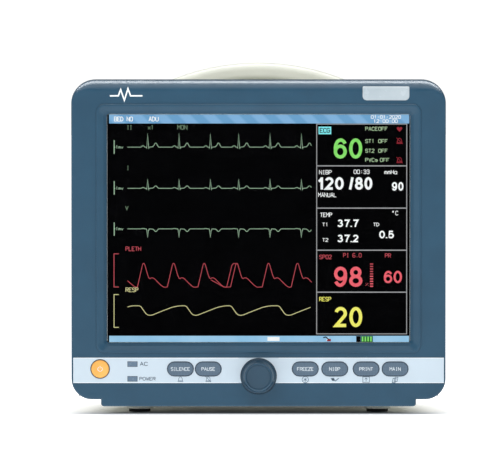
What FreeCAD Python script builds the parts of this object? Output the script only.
"""Bedside patient monitor: a blue front shell with the screen and keys, a cream rear housing and handle.

Millimetres, +Z up, the screen faces -Y, and the origin is on the table under the middle of the monitor.
Every driving size is one cell of the spreadsheet; places and fits are worked out from those cells.
"""

import FreeCAD, Part

import math
import operator
import os

import Sketcher
from FreeCAD import Placement, Rotation, Vector

SIZES = {
    # blue front shell
    "shell_width": 310.0,
    "shell_top": 278.0,
    "shell_ledge": 12.9,
    "shell_depth": 36.0,
    "shell_wall": 3.0,
    "front_wall": 4.0,
    "top_corner": 20.0,
    "low_corner": 17.0,
    "top_round": 10.0,
    "edge_round": 1.5,
    "plinth_width": 261.0,
    "plinth_bottom": 7.1,
    "plinth_corner": 2.4,
    "flange_thick": 3.0,
    "flange_lap": 2.0,
    # screen surround, window and display
    "screen_z": 154.5,
    "frame_width": 269.0,
    "frame_height": 206.0,
    "frame_corner": 7.0,
    "frame_raise": 1.0,
    "frame_edge": 2.0,
    "frame_round": 0.8,
    "slope_depth": 1.4,
    "lip_width": 2.6,
    "lip_depth": 2.4,
    "opening_width": 251.4,
    "opening_height": 189.6,
    "opening_corner": 2.0,
    "window_lap": 3.3,
    "window_thick": 1.5,
    "gasket_thick": 1.0,
    "screen_width": 250.4,
    "screen_height": 188.6,
    "display_width": 276.0,
    "display_height": 209.0,
    "display_thick": 9.0,
    "display_tin": 1.0,
    "cell_thick": 1.6,
    "bracket_height": 190.0,
    "bracket_thick": 1.5,
    "post_gap": 0.3,
    "post_spread": 150.0,
    "post_radius": 3.0,
    "post_edge": 3.2,
    # key strip, keys, power button and indicators
    "strip_side": 1.5,
    "strip_low": 26.5,
    "strip_high": 47.5,
    "strip_thick": 1.0,
    "strip_recess": 0.8,
    "key_z": 38.2,
    "key_width": 21.0,
    "key_height": 11.1,
    "key_gap": 0.3,
    "key_proud": 1.2,
    "key_round": 0.6,
    "key_slack": 0.1,
    "key_travel": 0.8,
    "rim_rise": 0.8,
    "rim_thick": 1.2,
    "stem_radius": 2.0,
    "silence_x": -64.7,
    "pause_space": 2.1,
    "freeze_x": 38.7,
    "pressure_space": 3.4,
    "print_space": 5.0,
    "main_space": 3.0,
    "power_x": -131.2,
    "power_radius": 7.3,
    "light_x": -104.4,
    "light_low_z": 30.0,
    "light_high_z": 42.2,
    "light_width": 7.5,
    "light_height": 3.6,
    "light_proud": 0.3,
    "led_thick": 1.5,
    "keypad_side": 13.0,
    "keypad_low": 22.0,
    "keypad_high": 48.5,
    "keypad_setback": 10.0,
    "keypad_post_z": 25.5,
    "keypad_post_x": 120.0,
    "keypad_inner_x": 25.0,
    "board_thick": 1.6,
    "switch_side": 6.0,
    "switch_height": 3.5,
    "switch_tip": 0.9,
    # control knob and its encoder
    "knob_z": 32.2,
    "knob_reach": 14.0,
    "knob_radius": 14.3,
    "knob_shoulder": 13.2,
    "knob_face": 11.6,
    "knob_skirt": 2.8,
    "knob_rim": 1.3,
    "knob_dish": 0.9,
    "knob_dish_slope": 0.5,
    "knob_gap": 0.8,
    "pocket_gap": 0.8,
    "pocket_depth": 1.6,
    "shaft_radius": 3.0,
    "running_gap": 0.05,
    "bushing_radius": 4.2,
    "bushing_gap": 0.3,
    "encoder_side": 12.4,
    "encoder_deep": 6.5,
    "encoder_floor": 1.0,
    "plunger_thick": 1.2,
    "push_travel": 0.5,
    # alarm lamp
    "lamp_x": 105.4,
    "lamp_low": 260.6,
    "lamp_high": 272.2,
    "lamp_width": 38.6,
    "lamp_corner": 3.6,
    "lamp_top_corner": 1.0,
    "lamp_gap": 0.15,
    "lamp_lap": 1.2,
    "lamp_lap_top": 267.0,
    "lamp_flange": 1.5,
    "lamp_board_setback": 5.0,
    "lamp_board_side": 6.7,
    # cream rear housing
    "housing_inset": 5.0,
    "housing_top": 270.0,
    "housing_bottom": 14.0,
    "housing_depth": 102.0,
    "housing_taper": 4.5,
    "housing_corner": 16.0,
    "housing_round": 8.0,
    "housing_wall": 3.0,
    "column_side": 18.0,
    "column_rise": 20.0,
    "column_radius": 5.5,
    "boss_depth": 14.0,
    "bore_floor": 2.0,
    "screw_radius": 1.8,
    "screw_length": 16.0,
    "screw_seat": 6.0,
    "head_radius": 3.4,
    "head_thick": 2.2,
    "head_gap": 0.4,
    "small_screw_radius": 1.3,
    "small_screw_length": 6.0,
    "small_head_radius": 2.5,
    "small_head_thick": 1.6,
    # feet
    "foot_x": 99.5,
    "foot_front": 12.0,
    "foot_back": 18.0,
    "foot_radius": 9.0,
    "foot_pad_radius": 11.0,
    "foot_thick": 2.7,
    "foot_round": 0.8,
    "foot_peg_radius": 3.0,
    "foot_peg_height": 4.0,
    # carry handle and the hollow under it
    "handle_top": 292.3,
    "handle_radius": 195.0,
    "handle_thick": 16.0,
    "handle_deep": 30.0,
    "handle_setback": 43.0,
    "handle_half": 90.0,
    "handle_round": 6.0,
    "scoop_width": 116.0,
    "scoop_deep": 68.0,
    "scoop_floor": 238.0,
    "scoop_corner": 14.0,
    "handle_seat": 251.8,
    "handle_screw_x": 76.0,
    "handle_screw_spread": 14.0,
    # bays in the sides of the housing
    "bay_setback": 12.0,
    "bay_deep": 76.0,
    "bay_wall": 3.0,
    "fit_gap": 0.2,
    # patient panel, left side
    "panel_low": 60.0,
    "panel_high": 220.0,
    "panel_thick": 2.5,
    "panel_sunk": 6.0,
    "panel_corner": 6.0,
    "ecg_z": 196.0,
    "oximeter_z": 166.0,
    "cuff_z": 137.0,
    "temperature_z": 109.0,
    "pressure_z": 82.0,
    "pair_spread": 30.0,
    "ecg_radius": 11.0,
    "ecg_bore": 8.0,
    "oximeter_radius": 9.5,
    "oximeter_bore": 6.5,
    "cuff_radius": 8.0,
    "cuff_bore": 2.4,
    "probe_radius": 7.5,
    "probe_bore": 4.5,
    "socket_proud": 2.0,
    "socket_depth": 9.0,
    "socket_long": 14.0,
    "pin_thin": 0.5,
    "pin_ring": 0.62,
    "pin_long": 6.0,
    "parameter_gap": 6.0,
    "parameter_side": 4.0,
    "parameter_end": 8.0,
    # recorder, right side
    "recorder_low": 120.0,
    "recorder_high": 216.0,
    "recorder_split": 198.5,
    "recorder_inner": 84.0,
    "door_sunk": 4.5,
    "door_thick": 3.0,
    "door_gap": 0.6,
    "barrel_lift": 4.2,
    "hinge_radius": 1.5,
    "hinge_seat": 1.5,
    "chassis_wall": 2.0,
    "chassis_gap": 0.5,
    "paper_radius": 22.0,
    "paper_width": 50.0,
    "paper_x": 110.0,
    "paper_z": 152.0,
    "spindle_radius": 5.5,
    "spindle_gap": 0.4,
    "platen_radius": 5.5,
    "platen_back": 6.5,
    "platen_z": 188.5,
    "platen_lap": 1.0,
    "axle_radius": 2.0,
    "ear_thick": 2.5,
    "ear_half": 5.0,
    "ear_gap": 0.6,
    "head_clear": 0.4,
    "head_deep": 8.0,
    "head_half": 4.5,
    "latch_width": 16.0,
    "latch_height": 8.0,
    "latch_proud": 0.8,
    "latch_lap": 1.5,
    # battery bay, right side
    "battery_low": 44.0,
    "battery_high": 74.0,
    "battery_inner": -6.0,
    "battery_gap": 1.0,
    # back: mount inserts, fan, loudspeaker and terminal panel
    "mount_pitch": 75.0,
    "mount_z": 142.0,
    "insert_radius": 3.2,
    "insert_bore": 2.0,
    "insert_long": 8.0,
    "insert_boss": 6.0,
    "insert_boss_long": 10.0,
    "fan_x": -86.0,
    "fan_z": 190.0,
    "fan_side": 60.0,
    "fan_thick": 15.0,
    "fan_bore": 28.0,
    "fan_pitch": 50.0,
    "fan_hub": 12.0,
    "fan_tip_gap": 1.0,
    "blade_share": 0.9,
    "fan_plate": 2.0,
    "blade_thick": 1.2,
    "grille_slot": 4.0,
    "grille_pitch": 6.6,
    "grille_inset": 2.0,
    "speaker_x": 92.0,
    "speaker_z": 97.0,
    "speaker_radius": 18.5,
    "speaker_thick": 12.0,
    "speaker_hole": 1.5,
    "speaker_pitch": 5.5,
    "terminal_left": -122.0,
    "terminal_right": 10.0,
    "terminal_low": 26.0,
    "terminal_high": 66.0,
    "terminal_sunk": 5.0,
    "terminal_lap": 3.0,
    "terminal_thick": 1.5,
    "inlet_x": -92.0,
    "inlet_width": 50.0,
    "inlet_height": 24.0,
    "inlet_flange": 2.5,
    "cavity_width": 24.4,
    "cavity_height": 16.5,
    "cavity_deep": 16.0,
    "inlet_wall": 2.0,
    "inlet_pitch": 7.0,
    "blade_high": 4.0,
    "blade_wide": 2.0,
    "stud_x": -50.0,
    "stud_radius": 3.0,
    "stud_shoulder": 3.6,
    "stud_tail": 2.5,
    "stud_reach": 4.8,
    "stud_nut": 5.5,
    "network_x": -18.0,
    "network_width": 16.0,
    "network_height": 14.0,
    "network_long": 20.0,
    "plug_width": 11.8,
    "plug_height": 8.2,
    "plug_deep": 13.0,
    # boards and modules inside
    "standoff_long": 7.0,
    "main_width": 170.0,
    "main_height": 150.0,
    "main_margin": 6.0,
    "sink_side": 46.0,
    "sink_high": 10.0,
    "sink_base": 2.5,
    "supply_left": -104.0,
    "supply_right": -20.0,
    "supply_front": 4.0,
    "supply_deep": 64.0,
    "supply_low": 24.0,
    "supply_high": 56.0,
    "supply_stud": 4.0,
    "shelf_left": -110.0,
    "shelf_right": 60.0,
    "shelf_thick": 1.5,
    "shelf_front": 4.0,
    "shelf_deep": 72.0,
    "pump_x": -80.0,
    "pump_radius": 13.5,
    "pump_long": 40.0,
    "pump_lift": 15.0,
    "pump_front": 12.0,
}

OPERATORS = {"+": operator.add, "-": operator.sub, "*": operator.mul, "/": operator.truediv}
AXES = {"X": Vector(1, 0, 0), "Y": Vector(0, 1, 0), "Z": Vector(0, 0, 1)}
PLANES = {"X": "YZ_Plane", "Y": "XZ_Plane", "Z": "XY_Plane"}
FIRST, LAST, CENTRE = 1, 2, 3
ORIGIN_POINT = (-1, 1)
TINY = 0.001
SINK_FINS = 9
FAN_BLADES = 7
BLADE_PITCH = 60
GRILLE_ROWS = 3
SPEAKER_RINGS = 3
RING_STEP = 6
ECG_PINS = 12
OXIMETER_PINS = 8
PROBE_PINS = 4
PAST = 1


# ---- sizes: a number and its spreadsheet formula, kept in step -----------------------------------


class Size:
    """A length together with the spreadsheet formula that gives it."""

    def __init__(self, number, text):
        self.number = float(number)
        self.text = text

    def __add__(self, other):
        return combine(self, "+", other)

    def __radd__(self, other):
        return combine(other, "+", self)

    def __sub__(self, other):
        return combine(self, "-", other)

    def __rsub__(self, other):
        return combine(other, "-", self)

    def __mul__(self, other):
        return combine(self, "*", other)

    def __rmul__(self, other):
        return combine(other, "*", self)

    def __truediv__(self, other):
        return combine(self, "/", other)

    def __neg__(self):
        return combine(-1, "*", self)


def as_size(length):
    """A plain number becomes a size that has that number for its formula."""
    return length if isinstance(length, Size) else Size(length, f"({float(length)!r})")


def combine(left, sign, right):
    """The size for an operation between two lengths."""
    left, right = as_size(left), as_size(right)
    return Size(OPERATORS[sign](left.number, right.number), f"({left.text} {sign} {right.text})")


class Driving:
    """The driving sizes by name, each a cell of the document's spreadsheet."""


doc = FreeCAD.newDocument("PatientMonitor")
sheet = doc.addObject("Spreadsheet::Sheet", "Sizes")
s = Driving()
for row, (alias, size) in enumerate(SIZES.items(), 1):
    sheet.set(f"A{row}", alias)
    sheet.set(f"B{row}", str(size))
    sheet.setAlias(f"B{row}", alias)
    setattr(s, alias, Size(size, "Sizes." + alias))
doc.recompute()
nodes = {}


# ---- helpers: placing, primitives, outlines and booleans -----------------------------------------


def tie(item, target, length):
    """Binds one property to the formula of a size."""
    item.setExpression(target, as_size(length).text)


def place(item, x, y, z, rotation=None):
    """Puts an object at a point whose coordinates follow the spreadsheet."""
    item.Placement = Placement(Vector(), rotation or Rotation())
    for letter, length in zip("xyz", (x, y, z)):
        tie(item, "Placement.Base." + letter, length)
    return item


def along(axis, centre, start):
    """The point at this start along the axis, with the centre given in the other two directions."""
    first, second = centre
    return {"X": (start, first, second), "Y": (first, start, second), "Z": (first, second, start)}[axis]


def box(x, y, z):
    """A block between three pairs of low and high faces."""
    block = doc.addObject("Part::Box", "Block")
    for target, (low, high) in zip(("Length", "Width", "Height"), (x, y, z)):
        tie(block, target, as_size(high) - low)
    return place(block, x[0], y[0], z[0])


def turned(kind, axis, centre, start, end):
    """A cylinder or cone that stands on the start plane and grows along the axis."""
    item = doc.addObject("Part::" + kind, kind)
    tie(item, "Height", as_size(end) - start)
    return place(item, *along(axis, centre, start), Rotation(AXES["Z"], AXES[axis]))


def rod(axis, centre, start, end, radius):
    """A round bar along the axis."""
    item = turned("Cylinder", axis, centre, start, end)
    tie(item, "Radius", radius)
    return item


def taper(axis, centre, start, end, first_radius, last_radius):
    """A round bar whose radius changes evenly from start to end."""
    item = turned("Cone", axis, centre, start, end)
    tie(item, "Radius1", first_radius)
    tie(item, "Radius2", last_radius)
    return item


def constrain(sketch, name, constraint, length):
    """Adds a named sketch dimension that follows a size."""
    index = sketch.addConstraint(constraint)
    sketch.renameConstraint(index, name)
    tie(sketch, "Constraints." + name, length)


def rounded(width, height, top_radius, low_radius=None):
    """An outline drawer: a rectangle centred on the sketch's origin, with round corners."""
    low_radius = low_radius or top_radius

    def draw(sketch):
        right, up = as_size(width).number / 2, as_size(height).number / 2
        top, low = as_size(top_radius).number, as_size(low_radius).number
        corners = [(right - low, low - up, low), (right - top, up - top, top),
                   (top - right, up - top, top), (low - right, low - up, low)]
        sides = [(low - right, -up, right - low, -up), (right, low - up, right, up - top),
                 (right - top, up, top - right, up), (-right, up - top, -right, low - up)]
        for x0, y0, x1, y1 in sides:
            sketch.addGeometry(Part.LineSegment(Vector(x0, y0), Vector(x1, y1)))
        for turn, (x, y, radius) in enumerate(corners):
            circle = Part.Circle(Vector(x, y), AXES["Z"], radius)
            begin = (turn - 1) * math.pi / 2
            sketch.addGeometry(Part.ArcOfCircle(circle, begin, begin + math.pi / 2))
        for side in range(4):
            sketch.addConstraint(Sketcher.Constraint("Tangent", side, LAST, side + 4, FIRST))
            sketch.addConstraint(Sketcher.Constraint("Tangent", side + 4, LAST, (side + 1) % 4, FIRST))
        for kind, *which in (("Horizontal", 0), ("Horizontal", 2), ("Vertical", 1), ("Vertical", 3),
                             ("Equal", 5, 6), ("Equal", 4, 7)):
            sketch.addConstraint(Sketcher.Constraint(kind, *which))
        half_width, half_height = as_size(width) / 2, as_size(height) / 2
        dimension = Sketcher.Constraint
        constrain(sketch, "top_radius", dimension("Radius", 5, top), top_radius)
        constrain(sketch, "low_radius", dimension("Radius", 4, low), low_radius)
        constrain(sketch, "right", dimension("DistanceX", *ORIGIN_POINT, 1, FIRST, right), half_width)
        constrain(sketch, "left", dimension("DistanceX", 3, FIRST, *ORIGIN_POINT, right), half_width)
        constrain(sketch, "up", dimension("DistanceY", *ORIGIN_POINT, 2, FIRST, up), half_height)
        constrain(sketch, "down", dimension("DistanceY", 0, FIRST, *ORIGIN_POINT, up), half_height)

    return draw


def stadium(width, height):
    """An outline drawer: a slot shape with half-round ends, centred on the sketch's origin."""

    def draw(sketch):
        radius = as_size(height).number / 2
        reach = as_size(width).number / 2 - radius
        sketch.addGeometry(Part.LineSegment(Vector(-reach, -radius), Vector(reach, -radius)))
        right_end = Part.Circle(Vector(reach, 0), AXES["Z"], radius)
        sketch.addGeometry(Part.ArcOfCircle(right_end, -math.pi / 2, math.pi / 2))
        sketch.addGeometry(Part.LineSegment(Vector(reach, radius), Vector(-reach, radius)))
        left_end = Part.Circle(Vector(-reach, 0), AXES["Z"], radius)
        sketch.addGeometry(Part.ArcOfCircle(left_end, math.pi / 2, 3 * math.pi / 2))
        for side in range(4):
            sketch.addConstraint(Sketcher.Constraint("Tangent", side, LAST, (side + 1) % 4, FIRST))
        sketch.addConstraint(Sketcher.Constraint("Horizontal", 0))
        sketch.addConstraint(Sketcher.Constraint("PointOnObject", 1, CENTRE, -1))
        dimension = Sketcher.Constraint
        half_reach = (as_size(width) - height) / 2
        constrain(sketch, "end_radius", dimension("Radius", 1, radius), as_size(height) / 2)
        constrain(sketch, "right", dimension("DistanceX", *ORIGIN_POINT, 1, CENTRE, reach), half_reach)
        constrain(sketch, "left", dimension("DistanceX", 3, CENTRE, *ORIGIN_POINT, reach), half_reach)

    return draw


def plate(axis, centre, start, end, outline):
    """A flat piece: an outline centred here, padded from start to end along the axis."""
    body = doc.addObject("PartDesign::Body", "Plate")
    sketch = body.newObject("Sketcher::SketchObject", "PlateOutline")
    plane = next(item for item in body.Origin.OriginFeatures if item.Role == PLANES[axis])
    sketch.AttachmentSupport = [(plane, "")]
    sketch.MapMode = "FlatFace"
    outline(sketch)
    pad = body.newObject("PartDesign::Pad", "PlatePad")
    pad.Profile = sketch
    pad.Reversed = axis == "Y"
    tie(pad, "Length", as_size(end) - start)
    return place(body, *along(axis, centre, start))


def funnel(centre, start, end, first_outline, last_outline):
    """A solid that runs along +Y from one outline to another."""
    sections = []
    for depth, outline in ((start, first_outline), (end, last_outline)):
        section = doc.addObject("Sketcher::SketchObject", "Section")
        place(section, *along("Y", centre, depth), Rotation(AXES["X"], 90))
        outline(section)
        sections.append(section)
    loft = doc.addObject("Part::Loft", "Loft")
    loft.Sections = sections
    loft.Solid = True
    loft.Ruled = True
    return loft


def group(*pieces):
    """Separate solids held as one object."""
    compound = doc.addObject("Part::Compound", "Group")
    compound.Links = list(pieces)
    return compound


def fuse(*pieces):
    """The union of pieces that overlap or share faces."""
    union = doc.addObject("Part::MultiFuse", "Union")
    union.Shapes = list(pieces)
    union.Refine = True
    return union


def cut(base, *tools):
    """The base with every tool taken out of it."""
    difference = doc.addObject("Part::Cut", "Difference")
    difference.Base = base
    difference.Tool = tools[0] if len(tools) == 1 else fuse(*tools)
    difference.Refine = True
    return difference


def common(base, tool):
    """What two solids share."""
    shared = doc.addObject("Part::Common", "Shared")
    shared.Base = base
    shared.Tool = tool
    return shared


def rods(axis, places, start, end, radius):
    """A rod at each of the places."""
    return [rod(axis, centre, start, end, radius) for centre in places]


def about(middle, half):
    """The span that reaches `half` to either side of `middle`."""
    return middle - half, middle + half


def corners(middle, half_width, half_height):
    """The four corners of a rectangle about `middle`."""
    across, up = about(middle[0], half_width), about(middle[1], half_height)
    return [(place_x, level) for place_x in across for level in up]


def in_plane(edge, axis, level):
    """Whether an edge lies wholly at this level of the axis."""
    low = getattr(edge.BoundBox, axis + "Min")
    high = getattr(edge.BoundBox, axis + "Max")
    return abs(low - level) < TINY and abs(high - level) < TINY


def soften(piece, axis, level, radius):
    """Rounds every edge that lies at one level of the axis."""
    doc.recompute()
    fillet = doc.addObject("Part::Fillet", "Softened")
    fillet.Base = piece
    level, radius = as_size(level).number, as_size(radius).number
    edges = enumerate(piece.Shape.Edges, 1)
    fillet.Edges = [(index, radius, radius) for index, edge in edges if in_plane(edge, axis, level)]
    return fillet


def keep(name, piece):
    """Registers a finished sub-part under its own name."""
    piece.Label = name
    nodes[name] = piece
    return piece


def screw(axis, centre, seat, towards, small=False):
    """A screw whose head sits on the seat plane; its shank points towards + or - along the axis."""
    length = s.small_screw_length if small else s.screw_length
    radius = s.small_screw_radius if small else s.screw_radius
    head_radius = s.small_head_radius if small else s.head_radius
    head_thick = s.small_head_thick if small else s.head_thick
    shank_span = (seat, seat + length) if towards > 0 else (seat - length, seat)
    head_span = (seat - head_thick, seat) if towards > 0 else (seat, seat + head_thick)
    recess = head_thick / 2
    recess_span = (seat - head_thick, seat - recess) if towards > 0 else (seat + recess, seat + head_thick)
    body = fuse(rod(axis, centre, *shank_span, radius), rod(axis, centre, *head_span, head_radius))
    return cut(body, rod(axis, centre, *recess_span, head_radius / 2))


# ---- places that several pieces share ------------------------------------------------------------

half_shell = s.shell_width / 2
half_housing = half_shell - s.housing_inset
face_y = s.knob_reach - (s.knob_reach + s.shell_depth + s.housing_depth) / 2
rim_y = face_y + s.shell_depth
back_y = rim_y + s.housing_depth
inside_y = face_y + s.front_wall
flange_y = rim_y - s.flange_thick
inner_back_y = back_y - s.housing_wall
strip_y = face_y + s.strip_recess - s.strip_thick
keypad_y = inside_y + s.keypad_setback
switch_y = keypad_y - s.switch_height - s.switch_tip
screen_centre = (0, s.screen_z)
display_y = inside_y + s.window_thick + s.gasket_thick
bracket_y = display_y + s.display_thick
post_x = s.display_width / 2 + s.post_gap + s.post_radius
half_bracket = post_x + s.post_edge
board_y = bracket_y + s.bracket_thick + s.standoff_long
knob_centre = (0, s.knob_z)
pocket_y = face_y + s.pocket_depth
housing_middle = (s.housing_top + s.housing_bottom) / 2
column_x = half_housing - s.column_side
column_places = corners((0, housing_middle), column_x, (s.housing_top - s.housing_bottom) / 2 - s.column_rise)
post_places = corners(screen_centre, post_x, s.post_spread / 2)
keypad_places = [(place_x, s.keypad_post_z) for place_x in
                 (-s.keypad_post_x, -s.keypad_inner_x, s.keypad_inner_x, s.keypad_post_x)]
lamp_reach = s.lamp_width / 2 + s.lamp_board_side - s.small_head_radius
lamp_places = [(place_x, (s.lamp_low + s.lamp_high) / 2) for place_x in about(s.lamp_x, lamp_reach)]
handle_y = rim_y + s.handle_setback
handle_centre_z = s.handle_top - s.handle_radius
handle_places = corners((0, handle_y), s.handle_screw_x, s.handle_screw_spread / 2)
foot_places = [(place_x, depth) for place_x in about(0, s.foot_x)
               for depth in (rim_y + s.foot_front, back_y - s.foot_back)]
bay_front = rim_y + s.bay_setback
bay_back = bay_front + s.bay_deep
bay_middle = (bay_front + bay_back) / 2
panel_x = s.panel_sunk - half_housing
door_x = half_housing - s.door_sunk
hinge_x = door_x - s.door_thick
chassis_x = hinge_x - s.door_thick - s.chassis_gap
recorder_hinge_z = s.recorder_low + s.barrel_lift
battery_hinge_z = s.battery_low + s.barrel_lift
platen_centre = (hinge_x - s.platen_back, s.platen_z)
mount_places = corners((0, s.mount_z), s.mount_pitch / 2, s.mount_pitch / 2)
fan_y = inner_back_y - s.fan_thick
fan_centre = (s.fan_x, s.fan_z)
terminal_y = back_y - s.terminal_sunk
terminal_z = (s.terminal_low + s.terminal_high) / 2
pressure_x = s.freeze_x + s.key_width + s.pressure_space
print_x = pressure_x + s.key_width + s.print_space
KEYS = {"silence": s.silence_x, "pause": s.silence_x + s.key_width + s.pause_space, "freeze": s.freeze_x,
        "pressure": pressure_x, "print": print_x, "main": print_x + s.key_width + s.main_space}
SOCKETS = {
    "ecg_socket": ([(bay_middle, s.ecg_z)], s.ecg_radius, s.ecg_bore, ECG_PINS),
    "oximeter_socket": ([(bay_middle, s.oximeter_z)], s.oximeter_radius, s.oximeter_bore, OXIMETER_PINS),
    "cuff_inlet": ([(bay_middle, s.cuff_z)], s.cuff_radius, s.cuff_bore, 0),
    "probe_sockets": ([(depth, level) for depth in about(bay_middle, s.pair_spread / 2)
                       for level in (s.temperature_z, s.pressure_z)], s.probe_radius, s.probe_bore, PROBE_PINS),
}


# ---- front shell ---------------------------------------------------------------------------------


def front_rounded(inset, start, end, top_round, edge_round):
    """The shell's outline as a solid: the front top edge is round and fades out down the corners."""
    width = s.shell_width - 2 * inset
    height = s.shell_top - s.shell_ledge - 2 * inset
    outline = rounded(width, height, s.top_corner - inset, s.low_corner - inset)
    solid = plate("Y", (0, (s.shell_top + s.shell_ledge) / 2), start, end, outline)
    doc.recompute()
    top = (s.shell_top - inset).number
    level = as_size(start).number
    big, fine = as_size(top_round).number, as_size(edge_round).number
    fillet = doc.addObject("Part::Fillet", "FrontRounded")
    fillet.Base = solid
    radii = []
    for index, edge in enumerate(solid.Shape.Edges, 1):
        if in_plane(edge, "Y", level):
            ends = [edge.valueAt(edge.FirstParameter), edge.valueAt(edge.LastParameter)]
            radii.append((index, *(big if abs(point.z - top) < TINY else fine for point in ends)))
    fillet.Edges = radii
    return fillet


def lamp_block(gap, start, end):
    """The alarm lamp's outline as a block, with a gap around it."""
    outline = rounded(s.lamp_width + 2 * gap, s.lamp_high - s.lamp_low + 2 * gap,
                      s.lamp_top_corner + gap, s.lamp_corner + gap)
    return plate("Y", (s.lamp_x, (s.lamp_low + s.lamp_high) / 2), start, end, outline)


def screen_cutters():
    """The sunk slope inside the raised frame, the steeper lip and the opening itself."""
    front = face_y - s.frame_raise
    slope_end = front + s.slope_depth
    lip_end = slope_end + s.lip_depth
    outer = rounded(s.frame_width - 2 * s.frame_edge, s.frame_height - 2 * s.frame_edge,
                    s.frame_corner - s.frame_edge)
    middle = rounded(s.opening_width + 2 * s.lip_width, s.opening_height + 2 * s.lip_width,
                     s.opening_corner + s.lip_width)
    opening = rounded(s.opening_width, s.opening_height, s.opening_corner)
    return [funnel(screen_centre, front, slope_end, outer, middle),
            funnel(screen_centre, slope_end, lip_end, middle, opening),
            plate("Y", screen_centre, lip_end, inside_y + PAST, opening)]


def key_cutters():
    """The holes for the keys, the power button, the lights and the knob."""
    start, end = face_y - PAST, inside_y + PAST
    hole = stadium(s.key_width + 2 * s.key_gap, s.key_height + 2 * s.key_gap)
    holes = [plate("Y", (place_x, s.key_z), start, end, hole) for place_x in KEYS.values()]
    holes.append(rod("Y", (s.power_x, s.key_z), start, end, s.power_radius + s.key_gap))
    half_width = s.light_width / 2 + s.key_gap
    half_height = s.light_height / 2 + s.key_gap
    for level in (s.light_low_z, s.light_high_z):
        holes.append(box(about(s.light_x, half_width), (start, end), about(level, half_height)))
    holes.append(rod("Y", knob_centre, face_y - PAST, pocket_y, s.knob_radius + s.pocket_gap))
    holes.append(rod("Y", knob_centre, pocket_y, end, s.bushing_radius + s.bushing_gap))
    return holes


def front_shell():
    """The blue shell: a tray with a plinth, a raised screen frame and its bosses behind."""
    outside = front_rounded(0, face_y, rim_y, s.top_round, s.edge_round)
    plinth_high = s.shell_ledge + s.low_corner
    plinth_middle = (s.plinth_bottom + plinth_high) / 2
    plinth_outline = rounded(s.plinth_width, plinth_high - s.plinth_bottom, s.plinth_corner)
    plinth = soften(plate("Y", (0, plinth_middle), face_y, rim_y, plinth_outline), "Y", face_y, s.edge_round)
    frame = soften(plate("Y", screen_centre, face_y - s.frame_raise, inside_y,
                         rounded(s.frame_width, s.frame_height, s.frame_corner)),
                   "Y", face_y - s.frame_raise, s.frame_round)
    void = front_rounded(s.shell_wall, inside_y, flange_y, s.top_round - s.shell_wall, s.edge_round)
    plinth_void = box((s.shell_wall - s.plinth_width / 2, s.plinth_width / 2 - s.shell_wall),
                      (inside_y, flange_y), (s.plinth_bottom + s.shell_wall, plinth_high))
    opening_half = half_housing - s.housing_wall - s.flange_lap
    opening_height = s.housing_top - s.housing_bottom - 2 * (s.housing_wall + s.flange_lap)
    rear_opening = plate("Y", (0, housing_middle), flange_y - PAST, rim_y + PAST,
                         rounded(2 * opening_half, opening_height, s.housing_corner - s.housing_wall))
    strip = box((s.strip_side - half_shell, half_shell - s.strip_side),
                (face_y - PAST, face_y + s.strip_recess), (s.strip_low, s.strip_high))
    tray = cut(fuse(outside, plinth, frame), void, plinth_void, rear_opening, strip,
               lamp_block(s.lamp_gap, face_y - PAST, inside_y + s.lamp_flange + PAST),
               *screen_cutters(), *key_cutters())
    bosses = rods("Y", column_places, rim_y - s.boss_depth, rim_y, s.column_radius)
    tab = s.column_side + s.column_rise
    for x_pair in ((-half_housing, tab - half_housing), (half_housing - tab, half_housing)):
        for level in (s.housing_top, s.housing_bottom + tab):
            bosses.append(box(x_pair, (flange_y, rim_y), (level - tab, level)))
    bosses += rods("Y", post_places, inside_y, bracket_y, s.post_radius)
    bosses += rods("Y", keypad_places, inside_y, keypad_y, s.post_radius)
    lamp_board_y = inside_y + s.lamp_board_setback
    bosses += rods("Y", lamp_places, inside_y, lamp_board_y, s.small_head_radius)
    bore_floor = rim_y - s.boss_depth + s.bore_floor
    bores = rods("Y", column_places, bore_floor, rim_y + PAST, s.screw_radius)
    shank = s.small_screw_length
    for centre, seat in ([(centre, bracket_y + s.bracket_thick) for centre in post_places]
                         + [(centre, keypad_y + s.board_thick) for centre in keypad_places]
                         + [(centre, lamp_board_y + s.board_thick) for centre in lamp_places]):
        bores.append(rod("Y", centre, seat - shank, seat, s.small_screw_radius))
    keep("front_shell", cut(fuse(tray, *bosses), *bores))


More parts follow.
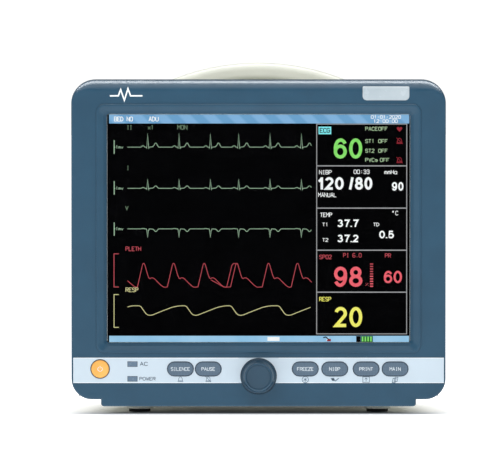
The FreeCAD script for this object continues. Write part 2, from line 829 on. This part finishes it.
def display_stack():
    """Window, gasket, display module, its bracket and the main board behind it."""
    window_width = s.opening_width + 2 * s.window_lap
    window_height = s.opening_height + 2 * s.window_lap
    gasket_y = inside_y + s.window_thick
    window = rounded(window_width, window_height, s.opening_corner)
    keep("display_window", plate("Y", screen_centre, inside_y, gasket_y, window))
    gasket = plate("Y", screen_centre, gasket_y, display_y, window)
    gasket_hole = rounded(s.opening_width, s.opening_height, s.opening_corner)
    keep("display_gasket", cut(gasket, plate("Y", screen_centre, gasket_y - PAST, display_y + PAST,
                                             gasket_hole)))

    half_width, half_height = s.display_width / 2, s.display_height / 2
    tin = s.display_tin
    inner_x, inner_z = about(0, half_width - tin), about(s.screen_z, half_height - tin)
    case = box(about(0, half_width), (display_y, bracket_y), about(s.screen_z, half_height))
    inner = box(inner_x, (display_y + tin, bracket_y - tin), inner_z)
    picture = box(about(0, s.screen_width / 2), (display_y - PAST, display_y + tin),
                  about(s.screen_z, s.screen_height / 2))
    keep("display_frame", cut(case, inner, picture))
    keep("display_cell", box(inner_x, (display_y + tin, display_y + tin + s.cell_thick), inner_z))

    bracket = box(about(0, half_bracket), (bracket_y, bracket_y + s.bracket_thick),
                  about(s.screen_z, s.bracket_height / 2))
    standoff_places = corners(screen_centre, s.main_width / 2 - s.main_margin,
                              s.main_height / 2 - s.main_margin)
    shelf_y = bracket_y + s.bracket_thick
    holes = rods("Y", post_places, bracket_y - PAST, shelf_y + PAST, s.small_screw_radius)
    keep("display_bracket", cut(bracket, *holes))
    standoffs = rods("Y", standoff_places, shelf_y, board_y, s.post_radius)
    bores = rods("Y", standoff_places, shelf_y + PAST, board_y + PAST, s.small_screw_radius)
    standoffs = cut(group(*standoffs), *bores)

    board = box(about(0, s.main_width / 2), (board_y, board_y + s.board_thick),
                about(s.screen_z, s.main_height / 2))
    sink_y = board_y + s.board_thick
    holes = rods("Y", standoff_places, board_y - PAST, sink_y + PAST, s.small_screw_radius)
    keep("main_board", cut(board, *holes))
    half_sink = s.sink_side / 2
    sink_z = about(s.screen_z, half_sink)
    fin_y = sink_y + s.sink_base
    fin_thick = s.sink_side / (2 * SINK_FINS - 1)
    sink = [box(about(0, half_sink), (sink_y, fin_y), sink_z)]
    for fin in range(SINK_FINS):
        left = 2 * fin * fin_thick - half_sink
        sink.append(box((left, left + fin_thick), (fin_y, sink_y + s.sink_high), sink_z))
    keep("heat_sink", fuse(*sink))
    small = [screw("Y", centre, shelf_y, -1, small=True) for centre in post_places]
    small += [screw("Y", centre, sink_y, -1, small=True) for centre in standoff_places]
    return small, standoffs


def key_strips():
    """The pale strip on each side of the knob, with holes for what comes through it."""
    end_x = half_shell - s.strip_side
    holes = key_cutters()
    pocket = rod("Y", knob_centre, strip_y - PAST, pocket_y, s.knob_radius + s.pocket_gap)
    for name, side in (("key_strip_left", -1), ("key_strip_right", 1)):
        x_pair = (0, end_x) if side > 0 else (-end_x, 0)
        strip = box(x_pair, (strip_y, strip_y + s.strip_thick), (s.strip_low, s.strip_high))
        keep(name, cut(strip, pocket, *holes))


def keys():
    """Six keys and the round power button: cap, retaining rim behind the wall, and stem."""
    rim_front = inside_y + s.key_slack
    rim_back = rim_front + s.rim_thick
    stem_end = switch_y - s.key_travel - s.key_slack
    front = strip_y - s.key_proud
    cap_outline = stadium(s.key_width, s.key_height)
    rim_outline = stadium(s.key_width + 2 * s.rim_rise, s.key_height + 2 * s.rim_rise)
    for name, place_x in KEYS.items():
        centre = (place_x, s.key_z)
        cap = soften(plate("Y", centre, front, rim_front, cap_outline), "Y", front, s.key_round)
        keep("key_" + name, fuse(cap, plate("Y", centre, rim_front, rim_back, rim_outline),
                                 rod("Y", centre, rim_back, stem_end, s.stem_radius)))
    centre = (s.power_x, s.key_z)
    cap = soften(rod("Y", centre, front, rim_front, s.power_radius), "Y", front, s.key_round)
    keep("power_button", fuse(cap, rod("Y", centre, rim_front, rim_back, s.power_radius + s.rim_rise),
                              rod("Y", centre, rim_back, stem_end, s.stem_radius)))


def keypad():
    """The board behind the keys, its switches, the two light pipes and their lamps."""
    board_end = keypad_y + s.board_thick
    holes = rods("Y", keypad_places, keypad_y - PAST, board_end + PAST, s.small_screw_radius)
    board = box((s.keypad_side - half_shell, half_shell - s.keypad_side), (keypad_y, board_end),
                (s.keypad_low, s.keypad_high))
    lamps = [box(about(s.light_x, s.light_height / 2), (keypad_y - s.led_thick, keypad_y),
                 about(level, s.led_thick)) for level in (s.light_low_z, s.light_high_z)]
    keep("keypad_board", cut(fuse(board, *lamps), *holes))
    half_side = s.switch_side / 2
    switches = []
    for place_x in [*KEYS.values(), s.power_x]:
        body = box(about(place_x, half_side), (keypad_y - s.switch_height, keypad_y),
                   about(s.key_z, half_side))
        tip = rod("Y", (place_x, s.key_z), switch_y, keypad_y - s.switch_height, s.stem_radius)
        switches.append(fuse(body, tip))
    keep("key_switches", group(*switches))
    half_width, half_height = s.light_width / 2, s.light_height / 2
    pipes = [box(about(s.light_x, half_width), (strip_y - s.light_proud, keypad_y - s.led_thick),
                 about(level, half_height)) for level in (s.light_low_z, s.light_high_z)]
    keep("indicator_lights", group(*pipes))
    return [screw("Y", centre, board_end, -1, small=True) for centre in keypad_places]


def control_knob():
    """The encoder with its push switch, the turning shaft and the knob on the shaft."""
    half_side = s.encoder_side / 2
    encoder_y = keypad_y - s.encoder_deep
    chamber_end = keypad_y - s.encoder_floor
    plunger_end = chamber_end - s.push_travel - s.key_slack
    plunger_start = plunger_end - s.plunger_thick
    knob_back = pocket_y - s.knob_gap
    skirt_front = knob_back - s.knob_skirt
    knob_front = face_y - s.knob_reach
    bore = s.shaft_radius + s.running_gap
    block = box(about(0, half_side), (encoder_y, keypad_y), about(s.knob_z, half_side))
    bushing = rod("Y", knob_centre, pocket_y, encoder_y, s.bushing_radius)
    keep("knob_encoder", cut(fuse(block, bushing), rod("Y", knob_centre, pocket_y - PAST, chamber_end, bore)))
    keep("encoder_plunger", rod("Y", knob_centre, plunger_start, plunger_end, s.shaft_radius - s.running_gap))
    socket_end = knob_front + s.front_wall
    keep("encoder_shaft", rod("Y", knob_centre, socket_end, plunger_start, s.shaft_radius))
    skirt = rod("Y", knob_centre, skirt_front, knob_back, s.knob_radius)
    skirt = soften(skirt, "Y", skirt_front, s.key_round)
    side = taper("Y", knob_centre, knob_front, skirt_front, s.knob_face, s.knob_shoulder)
    side = soften(side, "Y", knob_front, s.key_round)
    dish_radius = s.knob_face - s.knob_rim
    dish = taper("Y", knob_centre, knob_front, knob_front + s.knob_dish,
                 dish_radius, dish_radius - s.knob_dish_slope)
    socket = rod("Y", knob_centre, socket_end, knob_back + PAST, s.shaft_radius)
    keep("control_knob", cut(fuse(skirt, side), dish, socket))


def alarm_lamp():
    """The pale lens, part of the shell's rounded top edge, and the lamp board behind it."""
    outside = front_rounded(0, face_y, rim_y, s.top_round, s.edge_round)
    lens_back = inside_y + s.lamp_flange
    half_flange = s.lamp_width / 2 + s.lamp_lap
    flange = box(about(s.lamp_x, half_flange), (inside_y, lens_back),
                 (s.lamp_low - s.lamp_lap, s.lamp_lap_top))
    keep("alarm_lens", fuse(common(outside, lamp_block(0, face_y - PAST, lens_back)), flange))
    lamp_y = inside_y + s.lamp_board_setback
    half_board = s.lamp_width / 2 + s.lamp_board_side
    board_end = lamp_y + s.board_thick
    board = box(about(s.lamp_x, half_board), (lamp_y, board_end), (s.lamp_low, s.lamp_high - s.led_thick))
    half_width = s.lamp_width / 2 - s.lamp_corner
    strip = box(about(s.lamp_x, half_width), (lamp_y - s.led_thick, lamp_y),
                (s.lamp_low + s.lamp_corner, s.lamp_high - s.lamp_corner))
    holes = rods("Y", lamp_places, lamp_y - PAST, board_end + PAST, s.small_screw_radius)
    keep("alarm_board", cut(fuse(board, strip), *holes))
    return [screw("Y", centre, board_end, -1, small=True) for centre in lamp_places]


# ---- rear housing, feet and handle ---------------------------------------------------------------


def housing_solid(inset, end):
    """The rear housing's outline as a solid that draws in evenly towards the back."""
    radius = s.housing_corner - inset
    sizes = []
    for narrowing in (0, s.housing_taper):
        sizes.append(rounded(2 * (half_housing - inset - narrowing),
                             s.housing_top - s.housing_bottom - 2 * (inset + narrowing), radius))
    return funnel((0, housing_middle), rim_y, end, *sizes)


def handle_solid():
    """The arched bar, a slice of a wide ring with rounded edges."""
    centre = (0, handle_centre_z)
    start, end = handle_y - s.handle_deep / 2, handle_y + s.handle_deep / 2
    ring = cut(rod("Y", centre, start, end, s.handle_radius),
               rod("Y", centre, start - PAST, end + PAST, s.handle_radius - s.handle_thick))
    window = box(about(0, s.handle_half), (start - PAST, end + PAST),
                 (s.handle_seat - s.handle_thick, s.handle_top + PAST))
    return common(soften(soften(ring, "Y", start, s.handle_round), "Y", end, s.handle_round), window)


def bay(side, inner, low, high, grow=0):
    """The block of space that a side bay takes, from this depth to beyond the housing's side."""
    outer = half_housing + 1
    x_pair = (inner - grow, outer) if side > 0 else (-outer, -inner + grow)
    return box(x_pair, (bay_front - grow, bay_back + grow), (low - grow, high + grow))


def back_slots():
    """The slots of the fan grille and the round holes of the loudspeaker grille."""
    start, end = inner_back_y - PAST, back_y + PAST
    slots = []
    reach = s.fan_bore - s.grille_inset
    for step in range(-GRILLE_ROWS, GRILLE_ROWS + 1):
        offset = step * s.grille_pitch
        half = Size(math.sqrt(reach.number ** 2 - offset.number ** 2),
                    f"sqrt({reach.text}^2 - {offset.text}^2)")
        slots.append(plate("Y", (s.fan_x, s.fan_z + offset), start, end, stadium(2 * half, s.grille_slot)))
    for ring in range(SPEAKER_RINGS):
        count = RING_STEP * ring or 1
        for turn in range(count):
            angle = 2 * math.pi * turn / count
            centre = (s.speaker_x + ring * math.cos(angle) * s.speaker_pitch,
                      s.speaker_z + ring * math.sin(angle) * s.speaker_pitch)
            slots.append(rod("Y", centre, start, end, s.speaker_hole))
    return slots


def rear_housing(handle):
    """The cream housing: a drawn-in box with bays in its sides, a hollow on top and feet below."""
    outside = soften(housing_solid(0, back_y), "Y", back_y, s.housing_round)
    wall = s.bay_wall
    scoop_top = s.housing_top + s.scoop_corner
    scoop_outline = rounded(s.scoop_width, s.scoop_deep, s.scoop_corner)
    scoop = plate("Z", (0, handle_y), s.scoop_floor, scoop_top, scoop_outline)
    half_tub, half_tub_deep = s.scoop_width / 2 + wall, s.scoop_deep / 2 + wall
    half_seat, half_seat_deep = s.handle_half + wall, s.handle_deep / 2 + wall
    solid_parts = [
        box(about(0, half_tub), about(handle_y, half_tub_deep), (s.scoop_floor - wall, scoop_top)),
        box(about(0, half_seat), about(handle_y, half_seat_deep), (s.handle_seat, scoop_top)),
        bay(1, s.recorder_inner, s.recorder_low, s.recorder_high, wall),
        bay(1, s.battery_inner, s.battery_low, s.battery_high, wall),
        bay(-1, -panel_x, s.panel_low, s.panel_high, wall),
        box((s.terminal_left - s.terminal_lap, s.terminal_right + s.terminal_lap), (terminal_y, back_y),
            (s.terminal_low - s.terminal_lap, s.terminal_high + s.terminal_lap)),
    ]
    solid_parts += rods("Y", column_places, rim_y, back_y, s.column_radius)
    solid_parts += rods("Y", mount_places, inner_back_y - s.insert_boss_long, back_y, s.insert_boss)
    supply_places = supply_screw_places()
    solid_parts += rods("Z", supply_places, s.housing_bottom, s.supply_low, s.supply_stud)
    void = cut(housing_solid(s.housing_wall, inner_back_y), *solid_parts)

    pads = [soften(pad, "Z", s.foot_thick, s.foot_round) for pad in
            rods("Z", foot_places, s.foot_thick, s.housing_bottom + s.housing_taper, s.foot_pad_radius)]
    openings = [
        scoop,
        handle,
        bay(1, s.recorder_inner, s.recorder_low, s.recorder_high),
        bay(1, s.battery_inner, s.battery_low, s.battery_high),
        plate("X", (bay_middle, (s.panel_low + s.panel_high) / 2), -half_housing - PAST, panel_x + PAST,
              rounded(s.bay_deep, s.panel_high - s.panel_low, s.panel_corner)),
        box((panel_x, panel_x + s.panel_thick + PAST), (bay_front - wall, bay_back + wall),
            (s.panel_low - wall, s.panel_high + wall)),
        box((s.terminal_left, s.terminal_right), (terminal_y - PAST, back_y + PAST),
            (s.terminal_low, s.terminal_high)),
    ]
    openings += back_slots()
    openings += foot_pegs()
    openings += rods("Y", column_places, rim_y - PAST, back_y + PAST, s.screw_radius)
    openings += rods("Y", column_places, rim_y + s.screw_seat, back_y + PAST, s.head_radius + s.head_gap)
    openings += rods("Y", mount_places, back_y - s.insert_long, back_y + PAST, s.insert_radius)
    openings += handle_bores()
    openings += rods("Z", supply_places, s.supply_low - s.small_screw_length, s.supply_low + PAST,
                     s.small_screw_radius)
    for level in (recorder_hinge_z, battery_hinge_z):
        openings.append(rod("Y", (hinge_x, level), bay_front - s.hinge_seat, bay_back + s.hinge_seat,
                            s.hinge_radius))
    keep("rear_housing", cut(fuse(outside, *pads), void, *openings))


def handle_bores():
    """The holes for the handle's screws, through the seat and up into the bar."""
    return rods("Z", handle_places, s.handle_seat - PAST, s.handle_seat + s.screw_length, s.screw_radius)


def foot_pegs():
    """The pegs of the feet, which are also the shape of the holes they go into."""
    return rods("Z", foot_places, s.foot_thick - s.foot_round, s.foot_thick + s.foot_peg_height,
                s.foot_peg_radius)


def supply_screw_places():
    """The four studs that the power supply stands on."""
    inset = s.supply_stud + s.battery_gap
    return [(place_x, depth) for place_x in (s.supply_left + inset, s.supply_right - inset)
            for depth in (rim_y + s.supply_front + inset, rim_y + s.supply_front + s.supply_deep - inset)]


def feet():
    """Four rubber feet, each with a peg that is pushed into its pad."""
    feet = []
    for sole, peg in zip(rods("Z", foot_places, 0, s.foot_thick, s.foot_radius), foot_pegs()):
        feet.append(fuse(soften(sole, "Z", 0, s.foot_round), peg))
    keep("rubber_feet", group(*feet))


def case_screws():
    """Four long-reach screws in the corners and four under the handle."""
    screws = [screw("Y", centre, rim_y + s.screw_seat, -1) for centre in column_places]
    screws += [screw("Z", centre, s.handle_seat, 1) for centre in handle_places]
    keep("case_screws", group(*screws))


# ---- left side: patient panel --------------------------------------------------------------------


def patient_panel():
    """The panel plate, the sockets in it with their contacts, and the parameter board behind."""
    wall = s.bay_wall
    middle_z = (s.panel_low + s.panel_high) / 2
    panel = plate("X", (bay_middle, middle_z), panel_x, panel_x + s.panel_thick,
                  rounded(s.bay_deep + 2 * wall, s.panel_high - s.panel_low + 2 * wall, s.panel_corner))
    holes = []
    contacts = []
    socket_start = panel_x - s.socket_proud
    socket_end = socket_start + s.socket_long
    bore_end = socket_start + s.socket_depth
    for name, (places, radius, bore, pins) in SOCKETS.items():
        sockets = []
        for centre in places:
            collar = rod("X", centre, socket_start, panel_x, radius + s.rim_rise)
            collar = soften(collar, "X", socket_start, s.key_round)
            barrel = rod("X", centre, panel_x, socket_end, radius)
            sockets.append(cut(fuse(collar, barrel), rod("X", centre, socket_start - PAST, bore_end, bore)))
            holes.append(rod("X", centre, panel_x - PAST, panel_x + s.panel_thick + PAST, radius))
            for turn in range(pins):
                angle = 2 * math.pi * turn / pins
                ring = bore * s.pin_ring
                pin_place = (centre[0] + ring * math.cos(angle), centre[1] + ring * math.sin(angle))
                contacts.append(rod("X", pin_place, bore_end - s.pin_long, bore_end, s.pin_thin))
        keep(name, group(*sockets) if len(sockets) > 1 else sockets[0])
    keep("patient_panel", cut(panel, *holes))
    board_x = socket_end + s.parameter_gap
    board = box((board_x, board_x + s.board_thick), (bay_front + s.parameter_side, bay_back - s.parameter_side),
                (s.panel_low + s.parameter_end, s.panel_high - s.parameter_end))
    keep("parameter_board", board)
    legs = []
    for depth in (bay_front + 2 * s.parameter_side, bay_back - 2 * s.parameter_side):
        for level in (s.panel_low + 2 * s.parameter_end, s.panel_high - 2 * s.parameter_end):
            legs.append(rod("X", (depth, level), panel_x + s.panel_thick, board_x, s.post_radius))
    return contacts, legs


# ---- right side: recorder and battery ------------------------------------------------------------


def door(hinge_z, low, high):
    """A bay door: a plate with a round barrel along its lower edge, bored for the hinge pin."""
    start, end = bay_front + s.door_gap, bay_back - s.door_gap
    barrel = rod("Y", (hinge_x, hinge_z), start, end, s.door_thick)
    panel = box((hinge_x, door_x), (start, end), (hinge_z, high - s.door_gap))
    bore = rod("Y", (hinge_x, hinge_z), start - PAST, end + PAST, s.hinge_radius + s.running_gap)
    return [barrel, panel], bore


def hinge_pins():
    """The two steel pins that the recorder door and the battery door turn on."""
    pins = [rod("Y", (hinge_x, level), bay_front - s.hinge_seat, bay_back + s.hinge_seat, s.hinge_radius)
            for level in (recorder_hinge_z, battery_hinge_z)]
    keep("hinge_pins", group(*pins))


def recorder():
    """The strip recorder: chassis, paper roll, print head, fixed panel with latch, door and platen."""
    gap, wall = s.fit_gap, s.chassis_wall
    low, high = s.recorder_low + gap, s.recorder_high - gap
    outer = box((s.recorder_inner + gap, chassis_x), (bay_front + gap, bay_back - gap), (low, high))
    inner = box((s.recorder_inner + gap + wall, chassis_x + PAST),
                (bay_front + gap + wall, bay_back - gap - wall),
                (low + wall, high - wall))
    paper_centre = (s.paper_x, s.paper_z)
    spindle = rod("Y", paper_centre, bay_front + gap, bay_back - gap, s.spindle_radius)
    keep("recorder_chassis", fuse(cut(outer, inner), spindle))
    half_paper = s.paper_width / 2
    half_platen = half_paper + s.platen_lap
    roll = rod("Y", paper_centre, *about(bay_middle, half_paper), s.paper_radius)
    core = rod("Y", paper_centre, *about(bay_middle, half_platen), s.spindle_radius + s.spindle_gap)
    keep("paper_roll", cut(roll, core))

    head_x = platen_centre[0] - s.platen_radius - s.head_clear
    head_back = head_x - s.head_deep
    head = box((head_back, head_x), about(bay_middle, half_platen),
               about(s.platen_z, s.head_half))
    hanger = box((head_back, head_back + wall), about(bay_middle, half_paper / 2),
                 (s.platen_z, high - wall))
    keep("print_head", fuse(head, hanger))

    panel_low = s.recorder_split + s.door_gap
    start, end = bay_front + s.door_gap, bay_back - s.door_gap
    latch_z = (panel_low + high) / 2
    half_width, half_height = s.latch_width / 2, s.latch_height / 2
    window_width, window_height = half_width + s.key_gap, half_height + s.key_gap
    panel = box((hinge_x, door_x), (start, end), (panel_low, high))
    window = box((hinge_x - PAST, door_x + PAST), about(bay_middle, window_width),
                 about(latch_z, window_height))
    leg = s.chassis_wall + s.fit_gap
    legs = [box((chassis_x, hinge_x), span, (panel_low + leg, high)) for span in
            ((start, start + leg), (end - leg, end))]
    keep("recorder_panel", cut(fuse(panel, *legs), window))
    latch_x = hinge_x - s.key_slack
    button = box((latch_x, door_x + s.latch_proud), about(bay_middle, half_width),
                 about(latch_z, half_height))
    lap_width, lap_height = half_width + s.latch_lap, half_height + s.latch_lap / 2
    back = box((latch_x - wall, latch_x), about(bay_middle, lap_width),
               about(latch_z, lap_height))
    keep("recorder_latch", fuse(button, back))

    pieces, bore = door(recorder_hinge_z, s.recorder_low, s.recorder_split)
    ear_x = platen_centre[0]
    bores = [bore]
    ear_inner = half_platen + s.ear_gap
    ear_outer = ear_inner + s.ear_thick
    inner, outer = about(bay_middle, ear_inner), about(bay_middle, ear_outer)
    for span in ((outer[0], inner[0]), (inner[1], outer[1])):
        pieces.append(rod("Y", platen_centre, *span, s.ear_half))
        pieces.append(box((ear_x, door_x), span, about(s.platen_z, s.ear_half)))
    bores.append(rod("Y", platen_centre, outer[0] - PAST, outer[1] + PAST, s.axle_radius + s.running_gap))
    keep("recorder_door", cut(fuse(*pieces), *bores))
    sleeve = rod("Y", platen_centre, *about(bay_middle, half_platen), s.platen_radius)
    axle = rod("Y", platen_centre, *outer, s.axle_radius)
    keep("platen_roller", fuse(sleeve, axle))


def battery():
    """The battery pack in its bay and the door over it."""
    gap = s.battery_gap
    keep("battery_pack", box((s.battery_inner + s.fit_gap, chassis_x), (bay_front + gap, bay_back - gap),
                             (s.battery_low, s.battery_high - gap)))
    pieces, bore = door(battery_hinge_z, s.battery_low, s.battery_high)
    keep("battery_door", cut(fuse(*pieces), bore))


# ---- back: fan, loudspeaker, mount inserts and terminals -----------------------------------------


def fan():
    """The fan: a square frame with a hub, and a rotor with seven pitched blades."""
    half_side = s.fan_side / 2
    frame = plate("Y", fan_centre, fan_y, inner_back_y, rounded(s.fan_side, s.fan_side, s.front_wall))
    bore = rod("Y", fan_centre, fan_y - PAST, inner_back_y + PAST, s.fan_bore)
    plate_end = fan_y + s.fan_plate
    reach = half_side - s.fan_tip_gap
    arms = [rod("Y", fan_centre, fan_y, plate_end, s.fan_hub),
            box(about(s.fan_x, reach), (fan_y, plate_end), about(s.fan_z, s.fan_plate)),
            box(about(s.fan_x, s.fan_plate), (fan_y, plate_end), about(s.fan_z, reach))]
    shaft = rod("Y", fan_centre, fan_y, inner_back_y - s.fan_plate, s.hinge_radius)
    screw_places = corners(fan_centre, s.fan_pitch / 2, s.fan_pitch / 2)
    holes = rods("Y", screw_places, fan_y - PAST, inner_back_y + PAST, s.small_screw_radius)
    keep("fan_frame", fuse(cut(frame, bore, *holes), *arms, shaft))

    start = plate_end + s.fan_plate / 2
    end = inner_back_y - s.fan_plate / 2
    middle = (start + end) / 2
    blade_length = (end - start) * s.blade_share
    root = s.fan_hub / 2
    hub = rod("Y", fan_centre, start, end, s.fan_hub)
    blades = []
    for turn in range(FAN_BLADES):
        blade = doc.addObject("Part::Box", "Blade")
        tie(blade, "Length", s.fan_bore - s.fan_tip_gap - root)
        tie(blade, "Width", s.blade_thick)
        tie(blade, "Height", blade_length)
        spin = Rotation(AXES["Y"], turn * 360 / FAN_BLADES)
        pitch = spin * Rotation(AXES["X"], -BLADE_PITCH)
        out = spin.multVec(AXES["X"])
        across, along_blade = pitch.multVec(AXES["Y"]), pitch.multVec(AXES["Z"])
        lean = [root * to_tip - s.blade_thick / 2 * thick - blade_length / 2 * length
                for to_tip, thick, length in zip(out, across, along_blade)]
        place(blade, s.fan_x + lean[0], middle + lean[1], s.fan_z + lean[2], pitch)
        blades.append(blade)
    bore = rod("Y", fan_centre, start - PAST, inner_back_y - s.fan_plate + s.running_gap,
               s.hinge_radius + s.running_gap)
    keep("fan_rotor", cut(fuse(hub, *blades), bore))


def back_pieces():
    """The loudspeaker, the threaded inserts, the terminal panel and what is mounted in it."""
    speaker_centre = (s.speaker_x, s.speaker_z)
    rim_end = inner_back_y - s.fan_plate
    basket = taper("Y", speaker_centre, inner_back_y - s.speaker_thick, rim_end,
                   s.speaker_radius / 2, s.speaker_radius)
    rim = rod("Y", speaker_centre, rim_end, inner_back_y, s.speaker_radius)
    hollow = rod("Y", speaker_centre, rim_end, inner_back_y + PAST, s.speaker_radius - s.fan_plate)
    keep("loudspeaker", cut(fuse(basket, rim), hollow))

    start = back_y - s.insert_long
    inserts = group(*rods("Y", mount_places, start, back_y, s.insert_radius))
    keep("mount_inserts", cut(inserts, *rods("Y", mount_places, start - PAST, back_y + PAST, s.insert_bore)))

    lap = s.terminal_lap
    plate_y = terminal_y - s.terminal_thick
    plate_cut = (plate_y - PAST, terminal_y + PAST)
    inlet_centre = (s.inlet_x, terminal_z)
    half_width, half_height = s.cavity_width / 2 + s.inlet_wall, s.cavity_height / 2 + s.inlet_wall
    inlet_x, inlet_z = about(s.inlet_x, half_width), about(terminal_z, half_height)
    half_network, half_network_high = s.network_width / 2, s.network_height / 2
    network_x = about(s.network_x, half_network)
    network_z = about(terminal_z, half_network_high)
    panel = box((s.terminal_left - lap, s.terminal_right + lap), (plate_y, terminal_y),
                (s.terminal_low - lap, s.terminal_high + lap))
    stud_centre = (s.stud_x, terminal_z)
    keep("terminal_panel", cut(panel, box(inlet_x, plate_cut, inlet_z), box(network_x, plate_cut, network_z),
                               rod("Y", stud_centre, *plate_cut, s.stud_shoulder)))

    flange_end = terminal_y + s.inlet_flange
    cavity_end = flange_end - s.cavity_deep
    flange = plate("Y", inlet_centre, terminal_y, flange_end,
                   rounded(s.inlet_width, s.inlet_height, s.front_wall))
    shell = box(inlet_x, (cavity_end - s.inlet_wall, terminal_y), inlet_z)
    cavity = plate("Y", inlet_centre, cavity_end, flange_end + PAST,
                   rounded(s.cavity_width, s.cavity_height, s.front_wall, s.opening_corner))
    keep("power_inlet", cut(fuse(flange, shell), cavity))
    blades = []
    for step, rise in ((-1, -1), (0, 1), (1, -1)):
        place_x = s.inlet_x + step * s.inlet_pitch
        level = terminal_z + rise * s.blade_wide
        blades.append(box(about(place_x, s.blade_wide / 2), (cavity_end, flange_end - s.inlet_wall),
                          about(level, s.blade_high / 2)))

    keep("earth_stud", fuse(rod("Y", stud_centre, terminal_y, back_y - s.key_slack, s.stud_radius),
                            rod("Y", stud_centre, plate_y, terminal_y, s.stud_shoulder),
                            rod("Y", stud_centre, plate_y - s.blade_wide, plate_y, s.stud_nut),
                            rod("Y", stud_centre, plate_y - s.stud_reach, plate_y, s.stud_tail)))

    network = box(network_x, (flange_end - s.network_long, flange_end - s.inlet_wall / 2), network_z)
    half_plug, half_plug_high = s.plug_width / 2, s.plug_height / 2
    plug_space = box(about(s.network_x, half_plug), (flange_end - s.plug_deep, flange_end + PAST),
                     about(terminal_z, half_plug_high))
    keep("network_socket", cut(network, plug_space))
    return blades


# ---- modules inside ------------------------------------------------------------------------------


def modules():
    """The power supply on its studs, the shelf over it and the cuff pump on the shelf."""
    supply_y = rim_y + s.supply_front
    keep("power_supply", box((s.supply_left, s.supply_right), (supply_y, supply_y + s.supply_deep),
                             (s.supply_low, s.supply_high)))
    shelf_z = s.battery_high + s.bay_wall
    shelf_top = shelf_z + s.shelf_thick
    shelf_y = rim_y + s.shelf_front
    keep("module_shelf", box((s.shelf_left, s.shelf_right), (shelf_y, shelf_y + s.shelf_deep),
                             (shelf_z, shelf_top)))
    pump_z = shelf_top + s.pump_lift
    pump_y = (rim_y + s.pump_front, rim_y + s.pump_front + s.pump_long)
    saddle = box(about(s.pump_x, s.pump_radius), pump_y, (shelf_top, pump_z))
    keep("cuff_pump", fuse(saddle, rod("Y", (s.pump_x, pump_z), *pump_y, s.pump_radius)))


# ---- build, check and write ----------------------------------------------------------------------


def build():
    """Makes every sub-part."""
    front_shell()
    small, standoffs = display_stack()
    key_strips()
    keys()
    small += keypad()
    control_knob()
    small += alarm_lamp()
    handle = handle_solid()
    rear_housing(handle)
    keep("carry_handle", cut(handle, *handle_bores()))
    feet()
    case_screws()
    keep("board_screws", group(*small))
    contacts, legs = patient_panel()
    keep("standoffs", group(standoffs, *legs))
    hinge_pins()
    recorder()
    battery()
    fan()
    contacts += back_pieces()
    keep("contact_pins", group(*contacts))
    modules()


def write():
    """Refuses a failed document, then writes one file per sub-part."""
    doc.recompute()
    for item in doc.Objects:
        if "Invalid" in item.State or "Error" in item.State:
            raise RuntimeError(f"{item.Name} failed: {item.State}")
    os.makedirs("parts", exist_ok=True)
    for name, piece in nodes.items():
        if piece.Shape.isNull() or not piece.Shape.isValid():
            raise RuntimeError(f"{name} has no valid shape")
    for name, piece in nodes.items():
        piece.Shape.exportStep(f"parts/{name}.step")
        print(f"{name}: {len(piece.Shape.Solids)} solids, {piece.Shape.Volume / 1000:.1f} cm3")


build()
write()
